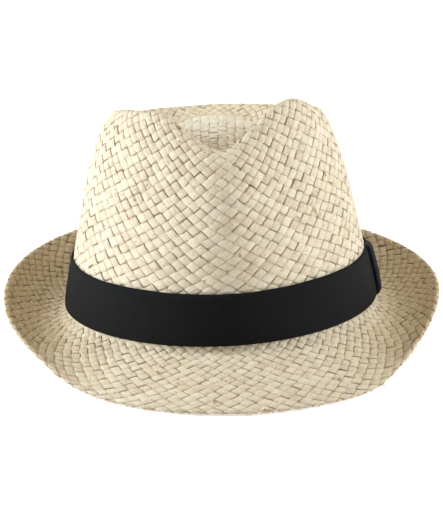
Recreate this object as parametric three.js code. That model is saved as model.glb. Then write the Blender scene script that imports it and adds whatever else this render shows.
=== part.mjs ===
// A woven straw trilby: one straw hood for crown and brim, a ribbon band and the band's folded keeper.
// Lengths are in millimetres, angles in degrees, and +Z is up. The front of the hat faces -Y. The hat stands
// as it rests on a table, on the front edge of its brim and on the bend at the back of the crown.
import * as THREE from "three";

// Crown, measured on the middle of the straw at the bend between crown and brim
const CROWN_WIDTH = 169;
const CROWN_LENGTH = 200.8;
const CROWN_HEIGHT = 114;
const STRAW_THICKNESS = 1.6;

// The bend lies a little below the band and is higher at the sides than at front and back
const BEND_DROP = 2;
const BEND_LENGTH = 4.5;
const SIDE_LIFT = 1;

// Brim: its reach in front, how far its edge stands above the table round the sides and back, and the depth
// of the trough beside the crown
const BRIM_REACH = 38;
const EDGE_RISE = 20;
const TROUGH_DEPTH = 6;
const EDGE_THICKNESS = 2.6;
const EDGE_FOLD = 5;

// How the resting hat leans: up in front, and down on its -X side
const PITCH = 5.4;
const LEAN = 2.2;
// The share of a half thickness that the feet press flat on the table
const FOOT_PRESS = 0.22;

// Ribbon band round the foot of the crown
const BAND_START = 1.1;
const BAND_WIDTH = 26.6;
const BAND_THICKNESS = 0.9;
const CLEARANCE = 0.3;

// Keeper: a strip folded upright round the band on the +X side
const KEEPER_AZIMUTH = 88;
const KEEPER_WIDTH = 14;
const KEEPER_THICKNESS = 0.8;
const KEEPER_BULGE = 2.2;

// How finely the round forms are cut into flat faces
const AZIMUTH_STEPS = 64;
const STEPS_PER_SPAN = 2;
const EDGE_ROUND_STEPS = 4;
const BAND_ROWS = 3;
// Small steps, in azimuth and in spans along a section, between which the surface's directions are measured
const DIRECTION_STEP = 1;
const SPAN_STEP = 0.01;

// Crown by azimuth from the front. Out columns are shares of the half width and half length, up columns are
// shares of CROWN_HEIGHT: low and high on the wall, the shoulder, the ridge round the top, the slope inside
// it and the floor of the dent.
const CROWN_COLUMNS = [
  "azimuth", "lowOut", "highOut", "shoulderOut", "shoulderUp", "ridgeOut", "ridgeUp", "innerOut", "innerUp",
  "floorOut", "floorUp",
];
const CROWN_ROWS = [
  [-150, 0.925, 0.865, 0.81, 0.8, 0.74, 0.86, 0.62, 0.8, 0.43, 0.78],
  [-110, 0.92, 0.83, 0.745, 0.845, 0.665, 0.91, 0.57, 0.82, 0.4, 0.78],
  [-75, 0.92, 0.82, 0.71, 0.885, 0.605, 1.03, 0.53, 0.84, 0.38, 0.78],
  [-50, 0.92, 0.785, 0.695, 0.94, 0.595, 1.05, 0.51, 0.88, 0.37, 0.79],
  [-30, 0.915, 0.77, 0.68, 0.93, 0.595, 1.05, 0.5, 0.89, 0.37, 0.795],
  [-14, 0.92, 0.81, 0.73, 0.86, 0.645, 0.965, 0.54, 0.85, 0.39, 0.795],
  [4, 0.94, 0.875, 0.8, 0.795, 0.72, 0.88, 0.6, 0.825, 0.42, 0.8],
  [22, 0.92, 0.81, 0.725, 0.86, 0.64, 0.97, 0.535, 0.85, 0.39, 0.795],
  [38, 0.915, 0.77, 0.68, 0.93, 0.6, 1.06, 0.5, 0.89, 0.37, 0.795],
  [54, 0.92, 0.785, 0.695, 0.96, 0.615, 1.08, 0.51, 0.9, 0.37, 0.79],
  [78, 0.92, 0.82, 0.72, 0.9, 0.64, 0.99, 0.53, 0.85, 0.38, 0.78],
  [112, 0.92, 0.83, 0.75, 0.855, 0.68, 0.9, 0.57, 0.82, 0.4, 0.78],
  [150, 0.925, 0.865, 0.81, 0.8, 0.74, 0.86, 0.62, 0.8, 0.43, 0.78],
  [180, 0.93, 0.87, 0.82, 0.79, 0.76, 0.85, 0.64, 0.79, 0.45, 0.78],
];
// Heights of the wall's two fixed levels and of the dent's domed middle, as shares of CROWN_HEIGHT
const FOOT_UP = 0.15;
const LOW_UP = 0.32;
const HIGH_UP = 0.68;
const DOME_UP = 0.885;
const DOME_OUT = 0.2;
// How far the foot of the wall stands out beyond the middle between the bend and the low level
const FOOT_FULLNESS = 0.006;

// Brim by azimuth: reach as a share of BRIM_REACH, the edge's rise above its resting height as a share of
// EDGE_RISE, the trough's depth as a share of TROUGH_DEPTH, and where across the brim the trough lies
const BRIM_COLUMNS = ["azimuth", "reach", "rise", "trough", "troughAt"];
const BRIM_ROWS = [
  [-160, 0.75, 1.03, 0.4, 0.4],
  [-130, 0.89, 0.91, 0.6, 0.4],
  [-100, 0.91, 0.86, 0.85, 0.4],
  [-80, 0.92, 0.74, 1, 0.42],
  [-65, 0.96, 0.7, 1, 0.5],
  [-50, 1, 0.47, 0.7, 0.58],
  [-38, 1.01, 0.14, 0.35, 0.6],
  [-24, 1, 0, -0.1, 0.5],
  [0, 1, 0, -0.25, 0.5],
  [24, 1, 0, -0.15, 0.5],
  [40, 1.01, 0.06, 0.2, 0.6],
  [50, 1, 0.4, 0.7, 0.6],
  [62, 0.97, 0.73, 1, 0.5],
  [80, 0.945, 0.99, 1, 0.42],
  [110, 0.92, 0.99, 0.75, 0.4],
  [140, 0.84, 0.95, 0.6, 0.4],
  [175, 0.72, 1.12, 0.4, 0.4],
];
// Where the brim's own control points lie across it
const BRIM_SHARES = [0.27, 0.44, 0.62, 0.8, 0.91, 1];

// How far each column of the keeper bulges off the band from front to back, as a share of KEEPER_BULGE
const KEEPER_BULGE_AT = [0.35, 0.85, 1, 0.95, 0.75, 0.45, 0.1];
const KEEPER_COLUMNS = KEEPER_BULGE_AT.length - 1;

const radians = THREE.MathUtils.degToRad;

// Reads every column at an azimuth, along a smooth closed curve through the rows
function readTable(columns, rows, azimuth) {
  const turn = ((((azimuth - rows[0][0]) % 360) + 360) % 360) + rows[0][0];
  const count = rows.length;
  const row = (i) => {
    const wrapped = ((i % count) + count) % count;
    const turns = Math.floor(i / count);
    return rows[wrapped].map((value, column) => (column === 0 ? value + 360 * turns : value));
  };
  let i = 0;
  while (row(i + 1)[0] <= turn) i += 1;
  const [before, from, to, after] = [row(i - 1), row(i), row(i + 1), row(i + 2)];
  const span = to[0] - from[0];
  const u = (turn - from[0]) / span;
  const result = {};
  columns.forEach((name, column) => {
    const slopeFrom = ((to[column] - before[column]) / (to[0] - before[0])) * span;
    const slopeTo = ((after[column] - from[column]) / (after[0] - from[0])) * span;
    result[name] =
      (2 * u ** 3 - 3 * u ** 2 + 1) * from[column] +
      (u ** 3 - 2 * u ** 2 + u) * slopeFrom +
      (3 * u ** 2 - 2 * u ** 3) * to[column] +
      (u ** 3 - u ** 2) * slopeTo;
  });
  return result;
}

// A point on the hat's oval at a share of the crown's half width and half length
function ovalPoint(azimuth, out, up) {
  const angle = radians(azimuth);
  return new THREE.Vector3(
    (CROWN_WIDTH / 2) * out * Math.sin(angle),
    (-CROWN_LENGTH / 2) * out * Math.cos(angle),
    up,
  );
}

function ovalNormal(azimuth) {
  const angle = radians(azimuth);
  return new THREE.Vector3(Math.sin(angle) / CROWN_WIDTH, -Math.cos(angle) / CROWN_LENGTH, 0).normalize();
}

// Turns a point of the level hat to the resting hat
const lean = new THREE.Quaternion().setFromAxisAngle(new THREE.Vector3(0, 1, 0), -radians(LEAN));
const rest = new THREE.Quaternion()
  .setFromAxisAngle(new THREE.Vector3(1, 0, 0), -radians(PITCH))
  .multiply(lean);

// The bend's height at an azimuth, and how much of the side lift a height above the band's foot keeps
const bendHeight = (azimuth) => SIDE_LIFT * Math.sin(radians(azimuth)) ** 2 - BEND_DROP;
const liftAt = (azimuth, up) => SIDE_LIFT * Math.sin(radians(azimuth)) ** 2 * Math.max(0, 1 - up ** 2);

// How high the level hat's own zero stands above the table. It is set below, once the sections are known.
let restHeight = 0;

// Control points of one section through the wall's middle, from the middle of the dent to the brim's edge
function sectionControls(azimuth) {
  const crown = readTable(CROWN_COLUMNS, CROWN_ROWS, azimuth);
  const brim = readTable(BRIM_COLUMNS, BRIM_ROWS, azimuth);
  const wall = (out, up) => ovalPoint(azimuth, out, up * CROWN_HEIGHT + liftAt(azimuth, up));
  const top = (out, up) => ovalPoint(azimuth, out, up * CROWN_HEIGHT);
  const corner = ovalPoint(azimuth, 1, bendHeight(azimuth));
  const reach = brim.reach * BRIM_REACH;
  const edgeBelow = corner.clone().addScaledVector(ovalNormal(azimuth), reach).applyQuaternion(rest);
  const edgeHeight = (EDGE_THICKNESS / 2) * (1 - FOOT_PRESS) + brim.rise * EDGE_RISE;
  const climb = (edgeHeight - restHeight - edgeBelow.z) / Math.cos(radians(PITCH)) / Math.cos(radians(LEAN));
  const across = (share) => {
    const dip = (share / brim.troughAt) ** (2 * brim.troughAt) *
      ((1 - share) / (1 - brim.troughAt)) ** (2 * (1 - brim.troughAt));
    const point = corner.clone().addScaledVector(ovalNormal(azimuth), reach * share);
    point.z += climb * share - brim.trough * TROUGH_DEPTH * dip;
    return point;
  };
  return [
    top(0, DOME_UP),
    top(DOME_OUT, DOME_UP),
    top(crown.floorOut, crown.floorUp),
    top(crown.innerOut, crown.innerUp),
    top(crown.ridgeOut, crown.ridgeUp),
    top(crown.shoulderOut, crown.shoulderUp),
    wall(crown.highOut, HIGH_UP),
    wall(crown.lowOut, LOW_UP),
    wall((1 + crown.lowOut) / 2 + FOOT_FULLNESS, FOOT_UP),
    corner.clone().setZ(corner.z + BEND_LENGTH),
    corner,
    across(BEND_LENGTH / reach),
    ...BRIM_SHARES.map(across),
  ];
}

// A point on the even cubic spline of the controls. Position counts in spans from the first control.
function splinePoint(controls, position) {
  const last = controls.length - 1;
  const span = Math.min(Math.floor(position), last - 1);
  const u = position - span;
  const control = (i) => {
    if (i < 0) return controls[0].clone().multiplyScalar(2).sub(controls[1]);
    if (i > last) return controls[last].clone().multiplyScalar(2).sub(controls[last - 1]);
    return controls[i];
  };
  return new THREE.Vector3()
    .addScaledVector(control(span - 1), (1 - u) ** 3 / 6)
    .addScaledVector(control(span), (3 * u ** 3 - 6 * u ** 2 + 4) / 6)
    .addScaledVector(control(span + 1), (-3 * u ** 3 + 3 * u ** 2 + 3 * u + 1) / 6)
    .addScaledVector(control(span + 2), u ** 3 / 6);
}

const SPANS = sectionControls(0).length - 1;
const BEND_SPAN = SPANS - BRIM_SHARES.length - 1;
const controlCache = new Map();
function midPoint(azimuth, position) {
  if (!controlCache.has(azimuth)) controlCache.set(azimuth, sectionControls(azimuth));
  return splinePoint(controlCache.get(azimuth), position);
}

// The direction out of the crown's outside, which is the brim's upper side
function outward(azimuth, position) {
  const outer = midPoint(azimuth, Math.min(position + SPAN_STEP, SPANS));
  const inner = midPoint(azimuth, position - SPAN_STEP);
  const right = midPoint(azimuth + DIRECTION_STEP, position);
  const left = midPoint(azimuth - DIRECTION_STEP, position);
  return outer.sub(inner).cross(right.sub(left)).normalize();
}

// The bend's underside comes down to the table and presses flat on it. The brim reaches up from the bend, so
// it takes a few rounds to settle both.
const SETTLING_ROUNDS = 4;
for (let i = 0; i < SETTLING_ROUNDS; i += 1) {
  controlCache.clear();
  let lowest = Infinity;
  for (let step = 0; step < AZIMUTH_STEPS; step += 1) {
    const azimuth = (360 * step) / AZIMUTH_STEPS;
    for (let share = 0; share <= 1; share += 1 / STEPS_PER_SPAN) {
      const under = midPoint(azimuth, BEND_SPAN + share)
        .addScaledVector(outward(azimuth, BEND_SPAN + share), -STRAW_THICKNESS / 2);
      lowest = Math.min(lowest, under.applyQuaternion(rest).z);
    }
  }
  restHeight = -lowest - (FOOT_PRESS * STRAW_THICKNESS) / 2;
}
controlCache.clear();

// The hat at rest stands on the table, so nothing reaches below it
function settle(point) {
  const settled = point.applyQuaternion(rest);
  settled.z = Math.max(0, settled.z + restHeight);
  return settled;
}

// Half the straw's thickness, which grows to that of the folded edge over half the fold's width
function halfThickness(fromEdge) {
  const fold = THREE.MathUtils.smoothstep(EDGE_FOLD - fromEdge, 0, EDGE_FOLD / 2);
  return THREE.MathUtils.lerp(STRAW_THICKNESS, EDGE_THICKNESS, fold) / 2;
}

// A named mesh from its points and the triangles that join them
function meshOf(name, material, points, triangles) {
  const geometry = new THREE.BufferGeometry();
  geometry.setAttribute("position", new THREE.Float32BufferAttribute(points.flatMap((p) => p.toArray()), 3));
  geometry.setIndex(triangles);
  geometry.computeVertexNormals();
  const mesh = new THREE.Mesh(geometry, material);
  mesh.name = name;
  return mesh;
}

// Joins loops of equal length side by side. Each loop closes on itself, and in a ring the last joins the first.
function skin(loopCount, loopLength, ring) {
  const triangles = [];
  const at = (loop, i) => (loop % loopCount) * loopLength + (i % loopLength);
  for (let loop = 0; loop < (ring ? loopCount : loopCount - 1); loop += 1) {
    for (let i = 0; i < loopLength; i += 1) {
      triangles.push(at(loop, i), at(loop + 1, i + 1), at(loop, i + 1));
      triangles.push(at(loop, i), at(loop + 1, i), at(loop + 1, i + 1));
    }
  }
  return triangles;
}

// Crown and brim as one wall: its outside from the dent to the edge, round the edge, and back up the inside
function strawBody() {
  const points = [];
  const loop = (pointAt) => {
    for (let i = 0; i < AZIMUTH_STEPS; i += 1) points.push(settle(pointAt((360 * i) / AZIMUTH_STEPS)));
  };
  const offset = (position, side) => (azimuth) => {
    const mid = midPoint(azimuth, position);
    const fromEdge = mid.distanceTo(midPoint(azimuth, SPANS));
    return mid.addScaledVector(outward(azimuth, position), side * halfThickness(fromEdge));
  };
  const positions = [];
  for (let i = 1; i <= SPANS * STEPS_PER_SPAN; i += 1) positions.push(i / STEPS_PER_SPAN);
  positions.forEach((position) => loop(offset(position, 1)));
  for (let i = 1; i < EDGE_ROUND_STEPS; i += 1) {
    const turn = (Math.PI * i) / EDGE_ROUND_STEPS;
    loop((azimuth) => {
      const edge = midPoint(azimuth, SPANS);
      const out = edge.clone().sub(midPoint(azimuth, SPANS - SPAN_STEP)).normalize();
      const up = outward(azimuth, SPANS);
      return edge
        .addScaledVector(up, (Math.cos(turn) * EDGE_THICKNESS) / 2)
        .addScaledVector(out, (Math.sin(turn) * EDGE_THICKNESS) / 2);
    });
  }
  positions.toReversed().forEach((position) => loop(offset(position, -1)));
  const loops = points.length / AZIMUTH_STEPS;
  const triangles = skin(loops, AZIMUTH_STEPS, false);
  const middle = midPoint(0, 0);
  const thickness = new THREE.Vector3(0, 0, STRAW_THICKNESS / 2);
  const outer = points.push(settle(middle.clone().add(thickness))) - 1;
  const inner = points.push(settle(middle.clone().sub(thickness))) - 1;
  const lastLoop = (loops - 1) * AZIMUTH_STEPS;
  for (let i = 0; i < AZIMUTH_STEPS; i += 1) {
    const next = (i + 1) % AZIMUTH_STEPS;
    triangles.push(outer, i, next);
    triangles.push(inner, lastLoop + next, lastLoop + i);
  }
  const straw = new THREE.MeshStandardMaterial({ color: 0xe6dcc0, roughness: 0.75, metalness: 0 });
  return meshOf("straw_body", straw, points, triangles);
}

// The wall's middle and its outward direction at a height above the foot of the crown. The wall rises without a
// dip from the bend to the high level, so halving the stretch between them finds the place.
const WALL_SPANS = 4;
const HALVINGS = 24;
function wallAt(azimuth, height) {
  const target = height + liftAt(azimuth, height / CROWN_HEIGHT);
  let low = BEND_SPAN;
  let high = BEND_SPAN - WALL_SPANS;
  for (let i = 0; i < HALVINGS; i += 1) {
    const middle = (low + high) / 2;
    if (midPoint(azimuth, middle).z < target) low = middle;
    else high = middle;
  }
  return { mid: midPoint(azimuth, low), out: outward(azimuth, low) };
}

const ribbon = new THREE.MeshStandardMaterial({ color: 0x202022, roughness: 0.85, metalness: 0 });

// The band follows the wall, with a flat section that is as wide as the ribbon
function band() {
  const points = [];
  const inner = STRAW_THICKNESS / 2 + CLEARANCE;
  const outer = inner + BAND_THICKNESS;
  for (let i = 0; i < AZIMUTH_STEPS; i += 1) {
    const azimuth = (360 * i) / AZIMUTH_STEPS;
    const row = (share, off) => {
      const wall = wallAt(azimuth, BAND_START + BAND_WIDTH * share);
      points.push(settle(wall.mid.addScaledVector(wall.out, off)));
    };
    for (let j = 0; j <= BAND_ROWS; j += 1) row(j / BAND_ROWS, outer);
    for (let j = BAND_ROWS; j >= 0; j -= 1) row(j / BAND_ROWS, inner);
  }
  return meshOf("band", ribbon, points, skin(AZIMUTH_STEPS, 2 * (BAND_ROWS + 1), true));
}

// The keeper's section is a C round the band's outside: down its face and over both of its edges
function keeper() {
  const points = [];
  const bottom = BAND_START - CLEARANCE;
  const top = BAND_START + BAND_WIDTH + CLEARANCE;
  const nearStraw = STRAW_THICKNESS / 2 + CLEARANCE;
  const nearBand = nearStraw + BAND_THICKNESS + CLEARANCE;
  const half = KEEPER_WIDTH / CROWN_LENGTH;
  for (let column = 0; column <= KEEPER_COLUMNS; column += 1) {
    const share = column / KEEPER_COLUMNS;
    const azimuth = KEEPER_AZIMUTH + THREE.MathUtils.radToDeg((2 * share - 1) * half);
    const inside = nearBand + KEEPER_BULGE * KEEPER_BULGE_AT[column];
    const outside = inside + KEEPER_THICKNESS;
    const middle = wallAt(azimuth, (bottom + top) / 2);
    const place = (height, off) => {
      const foot = wallAt(azimuth, height);
      points.push(settle(foot.mid.addScaledVector(middle.out, off)));
    };
    place(bottom, nearStraw);
    place(bottom - KEEPER_THICKNESS, nearStraw);
    place(bottom - KEEPER_THICKNESS, (inside + nearBand) / 2);
    place(bottom + KEEPER_THICKNESS, outside);
    place(top - KEEPER_THICKNESS, outside);
    place(top + KEEPER_THICKNESS, (inside + nearBand) / 2);
    place(top + KEEPER_THICKNESS, nearStraw);
    place(top, nearStraw);
    place(top, nearBand);
    place(top - 2 * KEEPER_THICKNESS, inside);
    place(bottom + 2 * KEEPER_THICKNESS, inside);
    place(bottom, nearBand);
  }
  const sectionLength = points.length / (KEEPER_COLUMNS + 1);
  const triangles = skin(KEEPER_COLUMNS + 1, sectionLength, false);
  const capFaces = [
    [0, 1, 2], [0, 2, 11], [11, 2, 3], [11, 3, 10], [10, 3, 4],
    [10, 4, 9], [9, 4, 5], [9, 5, 8], [8, 5, 6], [8, 6, 7],
  ];
  const lastSection = KEEPER_COLUMNS * sectionLength;
  capFaces.forEach(([a, b, c]) => {
    triangles.push(a, b, c);
    triangles.push(lastSection + a, lastSection + c, lastSection + b);
  });
  return meshOf("band_keeper", ribbon, points, triangles);
}

const hat = new THREE.Group();
hat.add(strawBody(), band(), keeper());

// The origin lies on the table under the middle of the hat's box
const box = new THREE.Box3().setFromObject(hat);
hat.position.set(-(box.min.x + box.max.x) / 2, -(box.min.y + box.max.y) / 2, 0);

export default hat;
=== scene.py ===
# A woven straw trilby with a black ribbon band, on a plain pale floor.
# Lengths are in metres in the part's frame, angles in degrees. The front of the hat faces -Y.
import math

import bpy
import numpy as np
from mathutils import Matrix, Vector


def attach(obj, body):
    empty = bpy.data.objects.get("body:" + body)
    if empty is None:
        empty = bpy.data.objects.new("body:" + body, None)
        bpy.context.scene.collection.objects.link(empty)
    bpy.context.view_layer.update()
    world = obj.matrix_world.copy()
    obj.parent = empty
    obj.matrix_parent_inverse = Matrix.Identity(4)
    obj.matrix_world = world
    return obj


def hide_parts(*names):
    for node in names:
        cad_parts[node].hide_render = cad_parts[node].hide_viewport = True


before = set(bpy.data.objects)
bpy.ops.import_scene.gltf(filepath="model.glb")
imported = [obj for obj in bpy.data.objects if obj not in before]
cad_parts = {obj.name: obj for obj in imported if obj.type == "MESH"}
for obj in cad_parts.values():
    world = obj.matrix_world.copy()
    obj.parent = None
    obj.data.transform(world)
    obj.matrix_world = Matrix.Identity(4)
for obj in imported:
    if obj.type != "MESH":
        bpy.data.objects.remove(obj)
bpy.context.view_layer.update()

MM = 0.001
# Nothing goes lower than this above the table, in millimetres
LOWEST = 0.02

# The hat's shape, from the same named sizes and tables as its solid, in millimetres
CROWN_WIDTH = 169
CROWN_LENGTH = 200.8
CROWN_HEIGHT = 114
STRAW_THICKNESS = 1.6
BEND_DROP = 2
BEND_LENGTH = 4.5
SIDE_LIFT = 1
BRIM_REACH = 38
EDGE_RISE = 20
TROUGH_DEPTH = 6
EDGE_THICKNESS = 2.6
PITCH = 5.4
LEAN = 2.2
FOOT_PRESS = 0.22
BAND_START = 1.1
BAND_WIDTH = 26.6
BAND_THICKNESS = 0.9
CLEARANCE = 0.3
KEEPER_AZIMUTH = 88
KEEPER_WIDTH = 14
KEEPER_BULGE = 2.2
FOOT_UP = 0.15
LOW_UP = 0.32
HIGH_UP = 0.68
DOME_UP = 0.885
DOME_OUT = 0.2
FOOT_FULLNESS = 0.006

# Columns: azimuth, lowOut, highOut, shoulderOut, shoulderUp, ridgeOut, ridgeUp, innerOut, innerUp, floorOut,
# floorUp. Out values are shares of the half width and half length, up values shares of the crown's height.
CROWN_ROWS = np.array([
    [-150, 0.925, 0.865, 0.81, 0.8, 0.74, 0.86, 0.62, 0.8, 0.43, 0.78],
    [-110, 0.92, 0.83, 0.745, 0.845, 0.665, 0.91, 0.57, 0.82, 0.4, 0.78],
    [-75, 0.92, 0.82, 0.71, 0.885, 0.605, 1.03, 0.53, 0.84, 0.38, 0.78],
    [-50, 0.92, 0.785, 0.695, 0.94, 0.595, 1.05, 0.51, 0.88, 0.37, 0.79],
    [-30, 0.915, 0.77, 0.68, 0.93, 0.595, 1.05, 0.5, 0.89, 0.37, 0.795],
    [-14, 0.92, 0.81, 0.73, 0.86, 0.645, 0.965, 0.54, 0.85, 0.39, 0.795],
    [4, 0.94, 0.875, 0.8, 0.795, 0.72, 0.88, 0.6, 0.825, 0.42, 0.8],
    [22, 0.92, 0.81, 0.725, 0.86, 0.64, 0.97, 0.535, 0.85, 0.39, 0.795],
    [38, 0.915, 0.77, 0.68, 0.93, 0.6, 1.06, 0.5, 0.89, 0.37, 0.795],
    [54, 0.92, 0.785, 0.695, 0.96, 0.615, 1.08, 0.51, 0.9, 0.37, 0.79],
    [78, 0.92, 0.82, 0.72, 0.9, 0.64, 0.99, 0.53, 0.85, 0.38, 0.78],
    [112, 0.92, 0.83, 0.75, 0.855, 0.68, 0.9, 0.57, 0.82, 0.4, 0.78],
    [150, 0.925, 0.865, 0.81, 0.8, 0.74, 0.86, 0.62, 0.8, 0.43, 0.78],
    [180, 0.93, 0.87, 0.82, 0.79, 0.76, 0.85, 0.64, 0.79, 0.45, 0.78],
])
# Columns: azimuth, reach, rise, trough, troughAt
BRIM_ROWS = np.array([
    [-160, 0.75, 1.03, 0.4, 0.4],
    [-130, 0.89, 0.91, 0.6, 0.4],
    [-100, 0.91, 0.86, 0.85, 0.4],
    [-80, 0.92, 0.74, 1, 0.42],
    [-65, 0.96, 0.7, 1, 0.5],
    [-50, 1, 0.47, 0.7, 0.58],
    [-38, 1.01, 0.14, 0.35, 0.6],
    [-24, 1, 0, -0.1, 0.5],
    [0, 1, 0, -0.25, 0.5],
    [24, 1, 0, -0.15, 0.5],
    [40, 1.01, 0.06, 0.2, 0.6],
    [50, 1, 0.4, 0.7, 0.6],
    [62, 0.97, 0.73, 1, 0.5],
    [80, 0.945, 0.99, 1, 0.42],
    [110, 0.92, 0.99, 0.75, 0.4],
    [140, 0.84, 0.95, 0.6, 0.4],
    [175, 0.72, 1.12, 0.4, 0.4],
])
BRIM_SHARES = (0.27, 0.44, 0.62, 0.8, 0.91, 1)

# How finely the surface is tabled: steps round the hat, and samples in each span of a section
ROUND_STEPS = 720
SPAN_SAMPLES = 12


def unit(vectors):
    return vectors / np.maximum(np.linalg.norm(vectors, axis=-1, keepdims=True), 1e-9)


def read_table(rows, azimuth):
    """Every column at many azimuths, along a smooth closed curve through the rows."""
    count = len(rows)
    first = rows[0, 0]
    turn = (azimuth - first) % 360 + first
    i = np.searchsorted(rows[:, 0], turn, side="right") - 1

    def row(k):
        values = rows[k % count].copy()
        values[:, 0] += 360 * np.floor_divide(k, count)
        return values

    before, start, end, after = row(i - 1), row(i), row(i + 1), row(i + 2)
    span = (end[:, :1] - start[:, :1])
    u = (turn[:, None] - start[:, :1]) / span
    slope_start = (end - before) / (end[:, :1] - before[:, :1]) * span
    slope_end = (after - start) / (after[:, :1] - start[:, :1]) * span
    return (
        (2 * u**3 - 3 * u**2 + 1) * start + (u**3 - 2 * u**2 + u) * slope_start
        + (3 * u**2 - 2 * u**3) * end + (u**3 - u**2) * slope_end
    )


def turn_matrix(axis, angle):
    return np.array(Matrix.Rotation(math.radians(angle), 3, axis))


REST = turn_matrix("X", -PITCH) @ turn_matrix("Y", -LEAN)


def section_controls(azimuth, rest_height):
    """Control points of the sections through the wall's middle: azimuths by controls by xyz."""
    a = np.radians(azimuth)
    crown, brim = read_table(CROWN_ROWS, azimuth), read_table(BRIM_ROWS, azimuth)
    side = SIDE_LIFT * np.sin(a) ** 2

    def oval(out, up):
        out = out * np.ones_like(a)
        return np.stack([CROWN_WIDTH / 2 * out * np.sin(a), -CROWN_LENGTH / 2 * out * np.cos(a),
                         up * np.ones_like(a)], -1)

    def top(out, up):
        return oval(out, up * CROWN_HEIGHT)

    def wall(out, up):
        return oval(out, up * CROWN_HEIGHT + side * max(0, 1 - up**2))

    normal = unit(np.stack([np.sin(a) / CROWN_WIDTH, -np.cos(a) / CROWN_LENGTH, 0 * a], -1))
    corner = oval(1, side - BEND_DROP)
    reach = brim[:, 1] * BRIM_REACH
    edge_below = (corner + normal * reach[:, None]) @ REST.T
    edge_height = EDGE_THICKNESS / 2 * (1 - FOOT_PRESS) + brim[:, 2] * EDGE_RISE
    climb = (edge_height - rest_height - edge_below[:, 2]) / math.cos(math.radians(PITCH)) \
        / math.cos(math.radians(LEAN))
    trough, at = brim[:, 3] * TROUGH_DEPTH, brim[:, 4]

    def across(share):
        dip = (share / at) ** (2 * at) * ((1 - share) / (1 - at)) ** (2 * (1 - at))
        point = corner + normal * (reach * share)[:, None]
        point[:, 2] += climb * share - trough * dip
        return point

    ones = np.ones_like(a)
    raised = corner.copy()
    raised[:, 2] += BEND_LENGTH
    controls = [
        top(0, DOME_UP), top(DOME_OUT, DOME_UP), top(crown[:, 9], crown[:, 10]),
        top(crown[:, 7], crown[:, 8]), top(crown[:, 5], crown[:, 6]), top(crown[:, 3], crown[:, 4]),
        wall(crown[:, 2], HIGH_UP), wall(crown[:, 1], LOW_UP),
        wall((1 + crown[:, 1]) / 2 + FOOT_FULLNESS, FOOT_UP), raised, corner, across(BEND_LENGTH / reach),
    ] + [across(ones * share) for share in BRIM_SHARES]
    return np.stack(controls, 1)


def spline_points(controls, positions):
    """Points of the even cubic spline through each section's controls: azimuths by positions by xyz."""
    first = 2 * controls[:, :1] - controls[:, 1:2]
    last = 2 * controls[:, -1:] - controls[:, -2:-1]
    held = np.concatenate([first, controls, last], 1)
    span = np.minimum(np.floor(positions).astype(int), controls.shape[1] - 2)
    u = (positions - span)[None, :, None]
    return (
        held[:, span] * (1 - u) ** 3 / 6 + held[:, span + 1] * (3 * u**3 - 6 * u**2 + 4) / 6
        + held[:, span + 2] * (-3 * u**3 + 3 * u**2 + 3 * u + 1) / 6 + held[:, span + 3] * u**3 / 6
    )


# A section has a span between each two controls: the crown's down to the bend, and the brim's past it
CROWN_SPANS = 11
SPANS = CROWN_SPANS + len(BRIM_SHARES)
BEND_SPAN = CROWN_SPANS - 1
POSITIONS = np.linspace(0, SPANS, SPANS * SPAN_SAMPLES + 1)
AZIMUTHS = np.arange(ROUND_STEPS) * 360 / ROUND_STEPS


def surface_normals(points):
    """Outward directions of a table of points that closes round its first axis."""
    along = np.gradient(points, axis=1)
    round_way = np.roll(points, -1, 0) - np.roll(points, 1, 0)
    return unit(np.cross(along, round_way))


def level_surface(rest_height):
    points = spline_points(section_controls(AZIMUTHS, rest_height), POSITIONS)
    return points, surface_normals(points)


# The hat is lowered until the bend at the back touches the table, in a few rounds
SETTLING_ROUNDS = 4
REST_HEIGHT = 0.0
for settling in range(SETTLING_ROUNDS):
    level, level_normals = level_surface(REST_HEIGHT)
    bend = slice(BEND_SPAN * SPAN_SAMPLES, (BEND_SPAN + 1) * SPAN_SAMPLES)
    under = (level[:, bend] - level_normals[:, bend] * STRAW_THICKNESS / 2) @ REST.T
    REST_HEIGHT = -under[..., 2].min() - FOOT_PRESS * STRAW_THICKNESS / 2
level, level_normals = level_surface(REST_HEIGHT)
settled = level @ REST.T
settled[..., 2] += REST_HEIGHT
NORMALS = level_normals @ REST.T
# The frame's zero is under the middle of the hat's box
outside = settled + NORMALS * STRAW_THICKNESS / 2
middle = np.array([(outside[..., k].max() + outside[..., k].min()) / 2 for k in (0, 1)])
settled[..., 0] -= middle[0]
settled[..., 1] -= middle[1]
# All the sections meet in one point at the top, which has one direction
NORMALS[:, 0] = NORMALS[:, 1].mean(0) / np.linalg.norm(NORMALS[:, 1].mean(0))

# Distance along each section from the bend, up the crown positive and out along the brim negative
steps = np.linalg.norm(np.diff(settled, axis=1), axis=2)
travel = np.concatenate([np.zeros((ROUND_STEPS, 1)), np.cumsum(steps, 1)], 1)
bend_index = int((BEND_SPAN + 0.5) * SPAN_SAMPLES)
ALONG = travel[:, bend_index:bend_index + 1] - travel
EDGE_ALONG = ALONG[:, -1]
ALONG_STEP = 0.5
ALONG_MARGIN = 2
ALONG_LOW = math.floor(EDGE_ALONG.min()) - ALONG_MARGIN
ALONG_COUNT = int((ALONG[:, 0].max() + ALONG_MARGIN - ALONG_LOW) / ALONG_STEP) + 1
ALONG_GRID = ALONG_LOW + ALONG_STEP * np.arange(ALONG_COUNT)


def by_distance(values):
    """A table by azimuth and distance along the section from one by azimuth and position."""
    table = np.empty((ROUND_STEPS, ALONG_COUNT, 3))
    for i in range(ROUND_STEPS):
        for k in range(3):
            table[i, :, k] = np.interp(ALONG_GRID, ALONG[i, ::-1], values[i, ::-1, k])
    return table


POINT_TABLE = by_distance(settled)
NORMAL_TABLE = by_distance(NORMALS)


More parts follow.
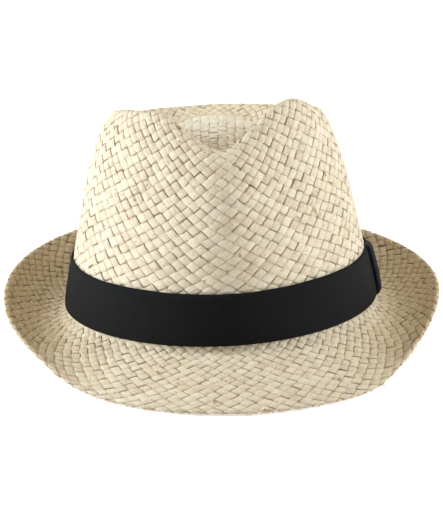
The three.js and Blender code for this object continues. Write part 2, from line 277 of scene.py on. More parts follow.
def read_between(table, azimuth, column):
    """A table's smooth value at azimuths and at places between its columns."""
    column = np.clip(column, 0, table.shape[1] - 1.001)
    a = (azimuth % 360) * ROUND_STEPS / 360
    i, j = np.floor(a).astype(int), np.floor(column).astype(int)
    fa, fb = a - i, column - j
    if table.ndim == 3:
        fa, fb = fa[..., None], fb[..., None]
    i, after = i % ROUND_STEPS, (i + 1) % ROUND_STEPS
    return (
        table[i, j] * (1 - fa) * (1 - fb) + table[after, j] * fa * (1 - fb)
        + table[i, j + 1] * (1 - fa) * fb + table[after, j + 1] * fa * fb
    )


def look_up(table, azimuth, along):
    """A table's smooth value at azimuths and distances along the section."""
    return read_between(table, azimuth, (along - ALONG_LOW) / ALONG_STEP)


def round_value(values, azimuth):
    """A value per azimuth step, read between the steps."""
    a = (azimuth % 360) * ROUND_STEPS / 360
    i = np.floor(a).astype(int)
    return values[i % ROUND_STEPS] * (1 - (a - i)) + values[(i + 1) % ROUND_STEPS] * (a - i)


# Weave. Two families of flat ribbons cross all round the hat. Along a ribbon, each crossing has four rings.
RING_AT = np.array([-0.41, -0.2, 0.2, 0.41])
RING_LIFT = np.array([0.42, 1.0, 1.0, 0.42])
RING_WIDTH = np.array([0.93, 1.0, 1.0, 0.93])
# The ribbon's section: across as a share of the half width, and its height
SECTION_ACROSS = np.array([-1, -0.66, 0, 0.66, 1, 0.62, -0.62])
SECTION_UP = np.array([-0.3, 0.0, 0.1, 0.0, -0.3, -0.46, -0.46])
SECTION_CENTRE = 2
WEAVE_LIFT = 0.47
RIBBON_FILL = 1.12
# How far a ribbon wanders sideways, and how far each pad of it departs in width, height, tilt and place
WANDER = 0.09
UNEVEN_WIDTH = 0.1
UNEVEN_LIFT = 0.22
UNEVEN_TILT = 0.11
UNEVEN_SIDEWAYS = 0.05
UNEVEN_LENGTHWISE = 0.06
# The waves of a ribbon's wandering: how fast each goes and how large it is
WANDER_WAVES = ((0.9, 1.0), (0.37, 0.6), (2.1, 0.5))
# Each ribbon's grain starts up to this far along it, and its wandering has a seed of its own
GRAIN_SHIFT = 100
FIRST_SEED = 1000
FAMILY_SEED = 7919
# Ribbons start a new piece past this size
TRIANGLES_IN_A_PIECE = 172000

SEED = 11
rng = np.random.default_rng(SEED)


class RibbonMesh:
    """Collects closed ribbons, counts their triangles, and makes them into a piece.
    Collects closed ribbons, and makes them into pieces that stay under the allowed size.
    """

    def __init__(self):
        self.points, self.faces, self.caps, self.tints, self.strands = [], [], [], [], []
        self.count = self.triangles = 0

    def add(self, rings, tint, lengths):
        """rings: rings by section points by xyz, in millimetres. The others give one row or value a ring."""
        n, m = rings.shape[:2]
        start = self.count
        self.points.append(rings.reshape(-1, 3) * MM)
        self.count += n * m
        ring = np.arange(n - 1)[:, None] * m + np.arange(m)[None, :]
        nxt = np.arange(n - 1)[:, None] * m + (np.arange(m)[None, :] + 1) % m
        quads = np.stack([ring, ring + m, nxt + m, nxt], -1).reshape(-1, 4) + start
        self.faces.append(quads)
        self.tints.append(np.repeat(tint, m, 0))
        strand = [np.repeat(lengths, m), np.tile(SECTION_ACROSS, n), np.zeros(n * m)]
        self.strands.append(np.stack(strand, -1))
        self.caps += [start + np.arange(m), start + (n - 1) * m + np.arange(m)[::-1]]
        self.triangles += 2 * len(quads) + 2 * (m - 2)

    def make(self, name, material, cad_slot):
        points = np.concatenate(self.points)
        quads = np.concatenate(self.faces)
        loops = np.concatenate([quads.ravel()] + self.caps)
        sizes = np.concatenate([np.full(len(quads), 4), [len(c) for c in self.caps]]).astype(int)
        mesh = bpy.data.meshes.new(name)
        mesh.vertices.add(len(points))
        mesh.vertices.foreach_set("co", points.astype(np.float32).ravel())
        mesh.loops.add(len(loops))
        mesh.loops.foreach_set("vertex_index", loops.astype(np.int32))
        mesh.polygons.add(len(sizes))
        starts = np.concatenate([[0], np.cumsum(sizes)[:-1]]).astype(np.int32)
        mesh.polygons.foreach_set("loop_start", starts)
        mesh.update(calc_edges=True)
        mesh.validate()
        mesh.polygons.foreach_set("use_smooth", np.ones(len(mesh.polygons), bool))
        tint = mesh.attributes.new("tint", "FLOAT_COLOR", "POINT")
        tint.data.foreach_set("color", np.concatenate(self.tints).astype(np.float32).ravel())
        strand = mesh.attributes.new("strand", "FLOAT_VECTOR", "POINT")
        strand.data.foreach_set("vector", np.concatenate(self.strands).astype(np.float32).ravel())
        mesh.materials.append(material)
        piece = bpy.data.objects.new(name, mesh)
        bpy.context.scene.collection.objects.link(piece)
        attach(piece, "root")
        return piece


def along_at(position):
    """Distance along the section at a position in spans, for every azimuth step."""
    return ALONG[:, int(round(position * SPAN_SAMPLES))]


def surface(azimuth, along, off):
    """Points that stand off the wall's middle, in millimetres, never below the table."""
    normal = unit(look_up(NORMAL_TABLE, azimuth, along))
    point = look_up(POINT_TABLE, azimuth, along) + normal * off[..., None]
    point[..., 2] = np.maximum(point[..., 2], LOWEST)
    return point


def wandering(t, seed):
    """A smooth uneven line, from a few waves of unlike length."""
    phases = np.random.default_rng(seed).uniform(0, 2 * math.pi, len(WANDER_WAVES))
    waves = sum(size * np.sin(t * speed + phase) for (speed, size), phase in zip(WANDER_WAVES, phases))
    return WANDER * waves / 2


def lengths_along(points):
    """The distance gone at each point of a line, in millimetres."""
    gone = np.linalg.norm(np.diff(points, axis=0), axis=1)
    return np.concatenate([[0], np.cumsum(gone)])


def no_painted_shade(azimuth, along):
    return np.zeros_like(azimuth)


def weave(name, place, inside, families, reach, material, sink=0.0, stand=surface, painted_shade=no_painted_shade):
    """Two crossing families of ribbons, as pieces. place(u, v) gives azimuth and distance along the section,
    and inside(azimuth, along) says where the ribbons run. reach(k, family) gives the crossings to try on
    ribbon k. stand puts points on the surface, and painted_shade gives the share of painted shade there."""
    pieces, mesh = [], RibbonMesh()
    for family in (0, 1):
        for k in families[family]:
            j = reach(k, family)
            crossing = np.repeat(j, len(RING_AT))
            t = (j[:, None] + RING_AT[None, :]).ravel()
            side = 1 if family == 0 else -1
            over = side * np.where((crossing + k) % 2 == 0, 1.0, -1.0)
            pad = rng.uniform(-1, 1, (len(j), 5)).repeat(len(RING_AT), 0)
            wander = wandering(t, FAMILY_SEED * family + k + FIRST_SEED)
            half = 0.5 * RIBBON_FILL * np.tile(RING_WIDTH, len(j)) * (1 + UNEVEN_WIDTH * pad[:, 0])
            middle_line = k + wander[:, None] + UNEVEN_SIDEWAYS * pad[:, 3:4]
            across = middle_line + half[:, None] * SECTION_ACROSS[None, :]
            run = np.repeat(t[:, None], len(SECTION_ACROSS), 1) + UNEVEN_LENGTHWISE * pad[:, 4:5]
            u, v = (across, run) if family == 0 else (run, across)
            azimuth, along = place(u, v)
            rise = over * np.tile(RING_LIFT, len(j)) * WEAVE_LIFT * (1 + UNEVEN_LIFT * pad[:, 1])
            tilt = UNEVEN_TILT * pad[:, 2:3] * SECTION_ACROSS[None, :]
            off = rise[:, None] + SECTION_UP[None, :] + tilt - sink
            centre_azimuth, centre_along = azimuth[:, SECTION_CENTRE], along[:, SECTION_CENTRE]
            shown = inside(centre_azimuth, centre_along)
            points = stand(azimuth, along, off)
            # The share of painted shade at each ring's middle, kept in the tint's last value
            tan = painted_shade(centre_azimuth, centre_along)
            edges = np.flatnonzero(np.diff(np.concatenate([[0], shown.astype(int), [0]])))
            ribbon_tint, _, grain_start = rng.uniform(0, 1, 3)
            for start, stop in zip(edges[::2], edges[1::2]):
                if stop - start < 2:
                    continue
                tint = np.stack([
                    0.5 + 0.5 * pad[start:stop, 1], np.full(stop - start, ribbon_tint),
                    0.5 + 0.5 * pad[start:stop, 2], tan[start:stop],
                ], -1)
                rings = points[start:stop]
                lengths = lengths_along(rings[:, SECTION_CENTRE]) + GRAIN_SHIFT * grain_start
                mesh.add(rings, tint, lengths)
            if mesh.triangles > TRIANGLES_IN_A_PIECE:
                pieces.append(mesh.make(f"{name}_{len(pieces) + 1}", material, "straw_body"))
                mesh = RibbonMesh()
    if mesh.points:
        pieces.append(mesh.make(f"{name}_{len(pieces) + 1}", material, "straw_body"))
    return pieces


class Nodes:
    """Short calls to make and join shader nodes."""

    def __init__(self, name):
        self.material = bpy.data.materials.new(name)
        self.material.use_nodes = True
        self.tree = self.material.node_tree
        self.shader = self.tree.nodes["Principled BSDF"]

    def add(self, kind, **inputs):
        node = self.tree.nodes.new(kind)
        for key, value in inputs.items():
            self.put(node.inputs[key.replace("_", " ")], value)
        return node

    def put(self, socket, value):
        if isinstance(value, bpy.types.NodeSocket):
            self.tree.links.new(value, socket)
        else:
            socket.default_value = value

    def attribute(self, name):
        node = self.tree.nodes.new("ShaderNodeAttribute")
        node.attribute_name = name
        return node

    def math(self, operation, first, second=None):
        node = self.tree.nodes.new("ShaderNodeMath")
        node.operation = operation
        self.put(node.inputs[0], first)
        if second is not None:
            self.put(node.inputs[1], second)
        return node.outputs[0]

    def times(self, first, second):
        return self.math("MULTIPLY", first, second)

    def plus(self, first, second):
        return self.math("ADD", first, second)

    def above(self, value, limit):
        """How far a value is above a limit, and nought below it."""
        return self.math("MAXIMUM", self.math("SUBTRACT", value, limit), 0.0)

    def mix(self, factor, first, second):
        node = self.tree.nodes.new("ShaderNodeMix")
        node.data_type = "RGBA"
        self.put(node.inputs["Factor"], factor)
        self.put(node.inputs["A"], first)
        self.put(node.inputs["B"], second)
        return node.outputs["Result"]

    def bump(self, height, strength, distance, normal=None):
        node = self.add("ShaderNodeBump", Strength=strength, Distance=distance, Height=height)
        if normal is not None:
            self.put(node.inputs["Normal"], normal)
        return node.outputs["Normal"]


# Straw colours: fresh, aged, painted shade for gaps and creases (also used for dark flecks), pinkish pads,
# greenish ribbons, the tip painted lighter as painted light from above, painted shade on the brim's upturned
# sides
PALE_STRAW = (0.86, 0.74, 0.53, 1)
TAN_STRAW = (0.72, 0.565, 0.36, 1)
DEEP_STRAW = (0.4, 0.23, 0.08, 1)
PINK_STRAW = (0.84, 0.64, 0.48, 1)
GREEN_STRAW = (0.66, 0.6, 0.36, 1)
TIP_PAINTED_LIGHT_STRAW = (0.97, 0.87, 0.68, 1)
PAINTED_SHADE_STRAW = (0.6, 0.41, 0.18, 1)
# How much of the aged colour a pad takes, by pad and by soft blotches over the hat
TAN_BY_PAD = 0.44
TAN_BY_BLOTCH = 0.36
# Pads above the first value turn pink, ribbons above the first value turn green, each by the second
PINK_PADS = (0.62, 0.8)
GREEN_RIBBONS = (0.7, 0.5)
# The grain's size along and across a ribbon, and how far apart the ribbons' grains are taken
GRAIN_ALONG = 0.16
GRAIN_ACROSS = 2.1
GRAIN_APART = 40.0
# Pads above this value are more creased. A crease line is painted shade, dark where the grain is below its
# level.
ROUGH_FROM = 0.25
CREASE_LEVEL = 0.49
CREASE_SHARPNESS = 5.0
CREASE_DARK = (0.25, 0.5)
CREASE_HEIGHT = (0.55, 0.5)
CREASE_DEPTH = 0.0012
# Painted shade on a ribbon's edges, where they sink into the gaps: how much darker they are for every pad and
# for the most uneven, and how narrow the dark edge is
EDGE_DARK = (0.15, 0.45)
EDGE_NARROWNESS = 6.0
# Flecks are where a fine noise is above the first value, and grow by the second to no more than the third
FLECKS = (0.69, 14.0, 0.8)


def straw_material(name, pale, tan):
    n = Nodes(name)
    tint = n.attribute("tint").outputs
    pads = n.add("ShaderNodeSeparateColor", Color=tint["Color"])
    pad, ribbon, other = pads.outputs[0], pads.outputs[1], pads.outputs[2]
    strand = n.add("ShaderNodeSeparateXYZ", Vector=n.attribute("strand").outputs["Vector"])
    length, across = strand.outputs[0], strand.outputs[1]
    position = n.tree.nodes.new("ShaderNodeTexCoord").outputs["Object"]
    blotch = n.add("ShaderNodeTexNoise", Vector=position, Scale=55.0, Detail=3.0).outputs["Fac"]
    # Fine creases run lengthwise along each ribbon
    grain_at = n.add("ShaderNodeCombineXYZ", X=n.times(length, GRAIN_ALONG), Y=n.times(across, GRAIN_ACROSS),
                     Z=n.times(ribbon, GRAIN_APART)).outputs[0]
    grain = n.add("ShaderNodeTexNoise", Vector=grain_at, Scale=1.6, Detail=4.0, Roughness=0.65).outputs["Fac"]
    colour = n.mix(n.plus(n.times(pad, TAN_BY_PAD), n.times(blotch, TAN_BY_BLOTCH)), pale, tan)
    colour = n.mix(n.times(n.above(other, PINK_PADS[0]), PINK_PADS[1]), colour, PINK_STRAW)
    colour = n.mix(n.times(n.above(ribbon, GREEN_RIBBONS[0]), GREEN_RIBBONS[1]), colour, GREEN_STRAW)
    # Painted shade: the tint's last value darkens the straw towards a deep tan on the brim's upturned sides,
    # and on the tip it takes back the painted light near the ridge
    colour = n.mix(tint["Alpha"], colour, PAINTED_SHADE_STRAW)
    rough = n.above(other, ROUGH_FROM)
    # Painted shade in thin lines along the grain, where the creases are
    below = n.math("MAXIMUM", n.math("SUBTRACT", CREASE_LEVEL, grain), 0.0)
    line = n.math("MINIMUM", n.times(below, CREASE_SHARPNESS), 1.0)
    line_dark = n.plus(CREASE_DARK[0], n.times(rough, CREASE_DARK[1]))
    colour = n.mix(n.times(line, line_dark), colour, DEEP_STRAW)
    # Painted shade along each ribbon's edges, where they sink into the gaps
    edge = n.math("POWER", n.math("ABSOLUTE", across), EDGE_NARROWNESS)
    edge_dark = n.plus(EDGE_DARK[0], n.times(pad, EDGE_DARK[1]))
    colour = n.mix(n.times(edge, edge_dark), colour, DEEP_STRAW)
    spots = n.add("ShaderNodeTexNoise", Vector=position, Scale=170.0, Detail=2.0).outputs["Fac"]
    fleck = n.math("MINIMUM", n.times(n.above(spots, FLECKS[0]), FLECKS[1]), FLECKS[2])
    n.put(n.shader.inputs["Base Color"], n.mix(fleck, colour, DEEP_STRAW))
    n.put(n.shader.inputs["Roughness"], 0.55)
    n.put(n.shader.inputs["Specular IOR Level"], 0.32)
    crease = n.times(grain, n.plus(CREASE_HEIGHT[0], n.times(rough, CREASE_HEIGHT[1])))
    n.put(n.shader.inputs["Normal"], n.bump(crease, 1.0, CREASE_DEPTH))
    return n.material


straw = straw_material("woven straw", PALE_STRAW, TAN_STRAW)
# The tip's straw is painted lighter, as painted light from above falling into the dent
painted_light_tip_straw = straw_material("straw painted lighter at the tip", TIP_PAINTED_LIGHT_STRAW, PALE_STRAW)

# Crown: as many ribbons of each family as meet the hat's foot, rows as high as the photographed weave's
CROWN_RIBBONS = 56
CROWN_ROW = 6.2
# The rows dip at the front and back by this much, and the columns lean to the sides above this height
ROW_CURVE = 14.0
COLUMN_CURVE = 3.0
COLUMN_HEIGHT = 50
# The crown's weave runs from behind the band to inside the ridge, a place given in spans of the section
CROWN_FROM = 10.0
TIP_POSITION = 2.4


def crown_place(u, v):
    base = 180 * (u - v) / CROWN_RIBBONS
    row = CROWN_ROW * (u + v) / 2
    turn = np.radians(base)
    azimuth = base - COLUMN_CURVE * np.sin(2 * turn) * (row - COLUMN_HEIGHT) / COLUMN_HEIGHT
    along = row + ROW_CURVE * np.sin(turn) ** 2 - ROW_CURVE / 2
    return azimuth, along


TIP_END = along_at(TIP_POSITION)


def crown_inside(azimuth, along):
    return (along > CROWN_FROM) & (along < round_value(TIP_END, azimuth))


def crown_reach(k, family):
    low = 2 * (CROWN_FROM - ROW_CURVE) / CROWN_ROW - k
    high = 2 * (TIP_END.max() + ROW_CURVE) / CROWN_ROW - k
    return np.arange(math.floor(low), math.ceil(high))


crown_families = (range(CROWN_RIBBONS), range(CROWN_RIBBONS))
crown = weave("straw_crown", crown_place, crown_inside, crown_families, crown_reach, straw)

# Brim: more ribbons, because it is wider round, and they run on up behind the band
BRIM_RIBBONS = 90
BRIM_ROW = 5.4
BRIM_TO = 14.0
BRIM_SINK = 0.05
BRIM_MARGIN = 4
# The brim's edge is folded: its weave turns round the edge and runs back under it
FOLD_RADIUS = 0.6
FOLD_FROM = 5.0
FOLD_UNDER = 3.0
FOLD_LENGTH = (math.pi - 1) * FOLD_RADIUS + FOLD_UNDER
# The brim's upturned sides take painted shade from this distance on, over that width, by at most this share,
# and only towards the sides
PAINTED_SHADE_FROM = 6
PAINTED_SHADE_WIDTH = 20
PAINTED_SHADE_SHARE = 0.56
PAINTED_SHADE_TO_SIDES = 1.5
PAINTED_SHADE_SIDE_GAIN = 1.6
PAINTED_SHADE_SIDE_LOSS = 0.6


def brim_surface(azimuth, along, off):
    """Points of the brim, which go on round its edge and back below it."""
    start = round_value(EDGE_ALONG, azimuth) + FOLD_RADIUS
    past = np.maximum(start - along, 0)
    turn = np.minimum(past / FOLD_RADIUS, math.pi)
    held = np.maximum(along, start)
    near = np.clip((start + FOLD_FROM - held) / FOLD_FROM, 0, 1)
    lift = FOLD_RADIUS * near**2 * (3 - 2 * near)
    normal = unit(look_up(NORMAL_TABLE, azimuth, held))
    way = unit(look_up(POINT_TABLE, azimuth, start) - look_up(POINT_TABLE, azimuth, start + 1))
    up = (lift + off) * np.cos(turn)
    out = (lift + off) * np.sin(turn) - (past - turn * FOLD_RADIUS)
    point = look_up(POINT_TABLE, azimuth, held) + normal * up[..., None] + way * out[..., None]
    point[..., 2] = np.maximum(point[..., 2], LOWEST)
    return point


def brim_painted_shade(azimuth, along):
    """Painted shade: the straw is darker where the brim turns up at the sides."""
    out = np.clip((PAINTED_SHADE_FROM - along) / PAINTED_SHADE_WIDTH, 0, 1)
    side = np.abs(np.sin(np.radians(azimuth))) ** PAINTED_SHADE_TO_SIDES
    return PAINTED_SHADE_SHARE * out * np.clip(PAINTED_SHADE_SIDE_GAIN * side - PAINTED_SHADE_SIDE_LOSS, 0, 1)


def brim_place(u, v):
    return 180 * (u - v) / BRIM_RIBBONS, BRIM_ROW * (u + v) / 2


def brim_inside(azimuth, along):
    return (along < BRIM_TO) & (along > round_value(EDGE_ALONG, azimuth) - FOLD_LENGTH)


def brim_reach(k, family):
    low = 2 * (EDGE_ALONG.min() - FOLD_LENGTH - BRIM_MARGIN) / BRIM_ROW - k
    return np.arange(math.floor(low), math.ceil(2 * BRIM_TO / BRIM_ROW - k) + 1)


brim_families = (range(BRIM_RIBBONS), range(BRIM_RIBBONS))
brim = weave("straw_brim", brim_place, brim_inside, brim_families, brim_reach, straw, sink=BRIM_SINK,
             stand=brim_surface, painted_shade=brim_painted_shade)

# Tip of the crown, inside the ridge: a square weave laid over the dent, a little under the crown's end
TIP_PITCH = 4.7
TIP_ROW = 2.9
TIP_COLUMNS = 16
TIP_ROWS = 26
TIP_MIDDLE = 4
TIP_SINK = 0.25
TIP_OVERLAP = 0.22
# Near the ridge the tip's painted light fades back to the ridge's straw colour, over this width
TIP_FADE = 12.0
TIP_LIGHT_FADE = 0.24
# The tip's distances along the section, tabled by how far out they are as a share of the half width
TIP_FARTHEST = 0.72
TIP_STEPS = 145
TIP_SPANS = 4.2
TIP_OUTS = np.linspace(0, TIP_FARTHEST, TIP_STEPS)
tip_samples = slice(0, int(TIP_SPANS * SPAN_SAMPLES))


def share_out(x, y):
    return np.hypot(x * 2 / CROWN_WIDTH, y * 2 / CROWN_LENGTH)


tip_out = share_out(level[:, tip_samples, 0], level[:, tip_samples, 1])
TIP_ALONG = np.stack([
    np.interp(TIP_OUTS, tip_out[i], ALONG[i, tip_samples]) for i in range(ROUND_STEPS)
])
TIP_LIMIT = along_at(TIP_POSITION + TIP_OVERLAP)


def tip_place(u, v):
    x, y = u * TIP_PITCH, v * TIP_ROW + TIP_MIDDLE
    azimuth = np.degrees(np.arctan2(x * 2 / CROWN_WIDTH, -y * 2 / CROWN_LENGTH)) % 360
    out = np.minimum(share_out(x, y), TIP_OUTS[-1])
    return azimuth, read_between(TIP_ALONG, azimuth, out / TIP_OUTS[1])


def tip_inside(azimuth, along):
    return along > round_value(TIP_LIMIT, azimuth)


def tip_light_fade(azimuth, along):
    return TIP_LIGHT_FADE * np.clip(1 - (along - round_value(TIP_LIMIT, azimuth)) / TIP_FADE, 0, 1)


def tip_reach(k, family):
    count = (TIP_ROWS, TIP_COLUMNS)[family] + 1
    return np.arange(-count, count + 1)


tip_families = (range(-TIP_COLUMNS, TIP_COLUMNS + 1), range(-TIP_ROWS, TIP_ROWS + 1))
tip = weave("straw_tip", tip_place, tip_inside, tip_families, tip_reach, painted_light_tip_straw, sink=TIP_SINK,
            painted_shade=tip_light_fade)

for piece in crown + brim + tip:
    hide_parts("straw_body")


def closed_ring(name, rings, material, cap=False):
    """A piece from rings of points, joined to each other, and closed round on itself unless capped."""
    count, size = rings.shape[:2]
    vertices = [tuple(p * MM) for p in rings.reshape(-1, 3)]
    faces = []
    for i in range(count - 1 if cap else count):
        for j in range(size):
            a, b = i * size + j, i * size + (j + 1) % size
            c, d = ((i + 1) % count) * size + (j + 1) % size, ((i + 1) % count) * size + j
            faces.append((a, d, c, b))
    if cap:
        faces.append(tuple(range(size)))
        faces.append(tuple((count - 1) * size + j for j in reversed(range(size))))
    mesh = bpy.data.meshes.new(name)
    mesh.from_pydata(vertices, [], faces)
    mesh.polygons.foreach_set("use_smooth", [True] * len(faces))
    strand = mesh.attributes.new("strand", "FLOAT_VECTOR", "POINT")
    lengths = np.repeat(lengths_along(rings[:, 0]), size)
    shares = np.tile(np.linspace(0, 1, size), count)
    values = np.stack([lengths, shares, np.zeros(count * size)], -1)
    strand.data.foreach_set("vector", values.astype(np.float32).ravel())
    mesh.materials.append(material)
    piece = bpy.data.objects.new(name, mesh)
    bpy.context.scene.collection.objects.link(piece)
    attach(piece, "root")
    return piece


# Frayed fibre ends along the brim's edge
FIBRES = 120
FIBRE_RADIUS = 0.14
FIBRE_THINNING = 0.6
FIBRE_REACH = (0.8, 2.2)
# How far a fibre's root is off the edge's middle, and how far its way turns aside and up and its end curls
FIBRE_ROOT = (-0.9, 0.5)
FIBRE_ASIDE = 0.9
FIBRE_UP = 0.5
FIBRE_CURL = 0.4
FIBRE_AT = np.array([0.0, 0.5, 1.0])
# A fibre's tint values are all this, so a fibre also takes this share of the painted shade colour of the
# brim's sides
FIBRE_TINT = 0.5
# The edge's directions are taken over this much of the brim and this many degrees
EDGE_NEAR = 2.0
EDGE_TURN = 1


def edge_point(azimuth, in_from_edge, off):
    azimuth = np.array([azimuth])
    return surface(azimuth, round_value(EDGE_ALONG, azimuth) + in_from_edge, np.array([off]))[0]


fibre_mesh = RibbonMesh()
for fibre in range(FIBRES):
    azimuth = rng.uniform(0, 360)
    root = edge_point(azimuth, 0, rng.uniform(*FIBRE_ROOT))
    away = unit(root - edge_point(azimuth, EDGE_NEAR, 0.0))
    beside = unit(edge_point(azimuth + EDGE_TURN, 0, 0.0) - root)
    up = np.cross(away, beside)
    way = away + beside * rng.uniform(-FIBRE_ASIDE, FIBRE_ASIDE)
    way = unit(way + up * rng.uniform(-FIBRE_UP, FIBRE_UP))
    curl = beside * rng.uniform(-FIBRE_CURL, FIBRE_CURL)
    reach = rng.uniform(*FIBRE_REACH)
    turn = np.linspace(0, 2 * math.pi, len(SECTION_ACROSS), endpoint=False)
    circle = np.cos(turn)[:, None] * beside + np.sin(turn)[:, None] * up
    rings = np.array([
        root + (way * at + curl * at**2) * reach + FIBRE_RADIUS * (1 - FIBRE_THINNING * at) * circle
        for at in FIBRE_AT
    ])
    rings[..., 2] = np.maximum(rings[..., 2], LOWEST)
    fibre_mesh.add(rings, np.full((len(FIBRE_AT), 4), FIBRE_TINT), FIBRE_AT)
fibre_mesh.make("frayed_fibres", straw, "straw_body")

# Band and keeper. The wall's distances along the section are tabled by height, as far up as they need.
TABLED_HEIGHT = 36
HEIGHT_STEP = 0.5
HEIGHTS = np.arange(0, TABLED_HEIGHT, HEIGHT_STEP)
WALL_SPANS = 4
wall_samples = slice((BEND_SPAN - WALL_SPANS) * SPAN_SAMPLES, BEND_SPAN * SPAN_SAMPLES + 1)
side_lift = SIDE_LIFT * np.sin(np.radians(AZIMUTHS)) ** 2
WALL_ALONG = np.empty((ROUND_STEPS, len(HEIGHTS)))
for i in range(ROUND_STEPS):
    lifted = HEIGHTS + side_lift[i] * (1 - (HEIGHTS / CROWN_HEIGHT) ** 2)
    WALL_ALONG[i] = np.interp(lifted, level[i, wall_samples, 2][::-1], ALONG[i, wall_samples][::-1])


def wall_along(azimuth, height):
    """Distance along the section at a height above the foot of the crown."""
    columns = np.stack([round_value(WALL_ALONG[:, j], azimuth) for j in range(len(HEIGHTS))], -1)
    flat = columns.reshape(-1, len(HEIGHTS))
    heights = np.broadcast_to(height, azimuth.shape).ravel()
    return np.array([np.interp(h, HEIGHTS, row) for h, row in zip(heights, flat)]).reshape(azimuth.shape)


BAND_BLACK = (0.0048, 0.0044, 0.004, 1)
KEEPER_BLACK = (0.011, 0.011, 0.0125, 1)
# The pitch of the ribbon's ribs in millimetres, how much lighter the ribbon is where it is worn, how much it
# is worn by soft patches and by streaks, and the heights of its creases and ribs in metres
RIB_PITCH = 0.8
WORN_TIMES = 1.9
WORN_BY_PATCH = 0.42
WORN_BY_STREAK = 0.546
STREAK_ACROSS = 5.0
FINE_HEIGHT = 1.5
BUMP_STRENGTH = 0.35
SOFT_CREASE_HEIGHT = 0.004
RIB_HEIGHT = 0.00012


def ribbon_material(name, colour, sheen):
    n = Nodes(name)
    strand = n.add("ShaderNodeSeparateXYZ", Vector=n.attribute("strand").outputs["Vector"])
    rib = n.math("SINE", n.times(strand.outputs[0], 2 * math.pi / RIB_PITCH))
    position = n.tree.nodes.new("ShaderNodeTexCoord").outputs["Object"]
    soft = n.add("ShaderNodeTexNoise", Vector=position, Scale=28.0, Detail=3.0).outputs["Fac"]
    fine = n.add("ShaderNodeTexNoise", Vector=position, Scale=900.0, Detail=2.0).outputs["Fac"]
    streak_at = n.add("ShaderNodeCombineXYZ", X=strand.outputs[0],
                      Y=n.times(strand.outputs[1], STREAK_ACROSS)).outputs[0]
    streak = n.add("ShaderNodeTexNoise", Vector=streak_at, Scale=0.75, Detail=4.0,
                   Roughness=0.7).outputs["Fac"]
    worn = n.plus(n.times(soft, WORN_BY_PATCH), n.times(streak, WORN_BY_STREAK))
    lighter = tuple(WORN_TIMES * c for c in colour[:3]) + (1,)
    n.put(n.shader.inputs["Base Color"], n.mix(worn, colour, lighter))
    n.put(n.shader.inputs["Roughness"], 0.82)
    n.put(n.shader.inputs["Specular IOR Level"], 0.09)
    n.put(n.shader.inputs["Sheen Weight"], sheen)
    n.put(n.shader.inputs["Sheen Roughness"], 0.5)
    creased = n.bump(soft, BUMP_STRENGTH, SOFT_CREASE_HEIGHT)
    ribs = n.plus(rib, n.times(fine, FINE_HEIGHT))
    n.put(n.shader.inputs["Normal"], n.bump(ribs, BUMP_STRENGTH, RIB_HEIGHT, creased))
    return n.material


band_cloth = ribbon_material("black ribbed ribbon", BAND_BLACK, 0.03)
keeper_cloth = ribbon_material("black folded ribbon", KEEPER_BLACK, 0.06)

BAND_STEPS = 480
BAND_ROWS = 12
# The band is this much thinner along its narrow edges, and waves this far up its edge and off the wall
BAND_THINNING = 0.25
BAND_NARROWNESS = 8
BAND_EDGE_WAVE = 0.6
BAND_FACE_WAVE = 0.16
BAND_FACE_TURN = 5
# Columns: waves round the band, height, start in radians
RIPPLES = ((9, 0.12, 1), (23, 0.1, 0))
band_azimuth = np.arange(BAND_STEPS) * 360 / BAND_STEPS
band_shares = np.linspace(0, 1, BAND_ROWS + 1)
band_inner = STRAW_THICKNESS / 2 + CLEARANCE
ripple = sum(size * np.sin(np.radians(band_azimuth) * waves + start) for waves, size, start in RIPPLES)
outer_rows, inner_rows = [], []
for share in band_shares:
    height = BAND_START + BAND_WIDTH * share + BAND_EDGE_WAVE * ripple * (share > 0.5)
    along = wall_along(band_azimuth, height)
    full = BAND_THICKNESS * (1 - BAND_THINNING * (2 * share - 1) ** BAND_NARROWNESS)
    wave = BAND_FACE_WAVE * ripple * (1 - (2 * share - 1) ** 2) * np.sin(share * BAND_FACE_TURN)
    outer_rows.append(surface(band_azimuth, along, band_inner + full + wave))
    inner_rows.append(surface(band_azimuth, along, np.full(BAND_STEPS, band_inner)))
band_rings = np.stack(outer_rows + inner_rows[::-1], 1)
band = closed_ring("ribbon_band", band_rings, band_cloth)
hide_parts("band")

# Columns across the keeper, from its front edge to its back edge, and how far each bulges off the band
KEEPER_AT = np.array([0, 0.04, 0.1, 0.2, 0.33, 0.5, 0.67, 0.82, 0.92, 0.97, 1.0])
KEEPER_OFF = np.array([0.3, 0.5, 0.74, 0.94, 1.02, 0.98, 0.84, 0.6, 0.36, 0.2, 0.1])
KEEPER_CLOTH = 0.8
# Rows up the keeper's face, as shares of its height, and how much less it bulges at its ends than midway
KEEPER_ROWS = (0.04, 0.12, 0.3, 0.5, 0.7, 0.88, 0.96)
KEEPER_SWELL = 0.28
# The folds over the band's edges: room to the band, how far the cloth runs past it, and its bulge there
BAND_ROOM = 0.05
TOP_ROOM = 0.1
FOLD_OUT = 0.7
FOLD_ROUND = 0.8
FOLD_OFF = 0.5
FOLD_BULGE = 0.3
INNER_BULGE = 0.15
INNER_INSET = 0.2
keeper_half = math.degrees(KEEPER_WIDTH / CROWN_LENGTH)
keeper_azimuth = KEEPER_AZIMUTH + (2 * KEEPER_AT - 1) * keeper_half
near_straw = STRAW_THICKNESS / 2 + CLEARANCE
near_band = near_straw + BAND_THICKNESS + CLEARANCE + BAND_ROOM
low, high = BAND_START - CLEARANCE, BAND_START + BAND_WIDTH + CLEARANCE + TOP_ROOM
bulge = KEEPER_BULGE * KEEPER_OFF
at_straw = np.full(len(bulge), near_straw)
fold = near_straw + FOLD_OFF + FOLD_BULGE * bulge
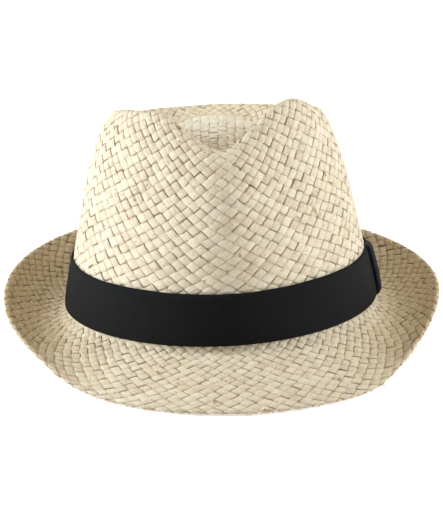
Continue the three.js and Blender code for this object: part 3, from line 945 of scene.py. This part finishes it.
# The strip's outer side and then its inner side, as height and distance off the wall
strip_outer = [(low - FOLD_OUT, at_straw), (low - FOLD_ROUND, fold)]
strip_inner = [(low, at_straw), (low, near_band + INNER_BULGE * bulge)]
for share in KEEPER_ROWS:
    swell = 1 - KEEPER_SWELL + KEEPER_SWELL * math.sin(math.pi * share)
    strip_outer.append((low + (high - low) * share, near_band + bulge * swell + KEEPER_CLOTH))
    inner_height = low + INNER_INSET + (high - low - 2 * INNER_INSET) * share
    strip_inner.append((inner_height, near_band + bulge * swell))
strip_outer += [(high + FOLD_ROUND, fold), (high + FOLD_OUT, at_straw)]
strip_inner += [(high, near_band + INNER_BULGE * bulge), (high, at_straw)]
keeper_rows = [surface(keeper_azimuth, wall_along(keeper_azimuth, h), off)
               for h, off in strip_outer + strip_inner[::-1]]
keeper = closed_ring("ribbon_keeper", np.stack(keeper_rows, 1), keeper_cloth, cap=True)
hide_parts("band_keeper")
rounding = keeper.modifiers.new("rounding", "SUBSURF")
rounding.levels = rounding.render_levels = 2

# Floor, light and camera
FLOOR = 6.0
FLOOR_DROP = 0.0004
floor_mesh = bpy.data.meshes.new("floor")
floor_corners = [(-FLOOR, -FLOOR, 0), (FLOOR, -FLOOR, 0), (FLOOR, FLOOR, 0), (-FLOOR, FLOOR, 0)]
floor_mesh.from_pydata(floor_corners, [], [(0, 1, 2, 3)])
floor = bpy.data.objects.new("floor", floor_mesh)
floor.location.z = -FLOOR_DROP
bpy.context.scene.collection.objects.link(floor)
paper = Nodes("pale floor")
paper.put(paper.shader.inputs["Base Color"], (0.9, 0.9, 0.9, 1))
paper.put(paper.shader.inputs["Roughness"], 0.9)
paper.put(paper.shader.inputs["Emission Color"], (1, 1, 1, 1))
paper.put(paper.shader.inputs["Emission Strength"], 0.45)
floor_mesh.materials.append(paper.material)

world = bpy.data.worlds.new("white room")
world.use_nodes = True
world.node_tree.nodes["Background"].inputs["Color"].default_value = (1, 0.9, 0.76, 1)
world.node_tree.nodes["Background"].inputs["Strength"].default_value = 0.04
bpy.context.scene.world = world
bpy.context.scene.view_settings.view_transform = "Standard"

# Where the camera looks, in millimetres from the middle of the crown's foot, and how far off it is in metres
VIEW_CENTRE = Vector((0.3, 0.2, 24.85))
VIEW_DISTANCE = 1.5
VIEW_ELEVATION = 19.4
FOCAL_PIXELS = 2722
PHOTO_WIDTH = 443
SENSOR = 36
CLIP_END = 50
target = (VIEW_CENTRE + Vector((-middle[0], -middle[1], REST_HEIGHT))) * MM

# Columns: name, azimuth, elevation, distance, size, power, colour
LIGHTS = [
    ("left", -87, 21, 1.6, 0.8, 36, (0.78, 0.88, 1)),
    ("right", 86, 23, 1.6, 0.8, 25, (0.81, 0.89, 1)),
    ("above", 180, 82, 1.7, 0.8, 13, (1, 0.99, 0.96)),
    ("front", 0, 35, 1.9, 1.0, 0.1, (1, 0.94, 0.84)),
]
for name, azimuth, elevation, distance, size, power, colour in LIGHTS:
    data = bpy.data.lights.new(name, "AREA")
    data.size = size
    data.energy = power
    data.color = colour
    lamp = bpy.data.objects.new(name, data)
    a, e = math.radians(azimuth), math.radians(elevation)
    way = Vector((math.sin(a) * math.cos(e), -math.cos(a) * math.cos(e), math.sin(e)))
    lamp.location = target + way * distance
    lamp.rotation_euler = way.to_track_quat("Z", "Y").to_euler()
    bpy.context.scene.collection.objects.link(lamp)

camera_data = bpy.data.cameras.new("camera")
camera_data.sensor_fit = "HORIZONTAL"
camera_data.sensor_width = SENSOR
camera_data.lens = FOCAL_PIXELS * SENSOR / PHOTO_WIDTH
camera_data.clip_end = CLIP_END
camera = bpy.data.objects.new("camera", camera_data)
tilt = math.radians(VIEW_ELEVATION)
camera.location = target + Vector((0, -math.cos(tilt), math.sin(tilt))) * VIEW_DISTANCE
camera.rotation_euler = (math.pi / 2 - tilt, 0, 0)
bpy.context.scene.collection.objects.link(camera)
bpy.context.scene.camera = camera
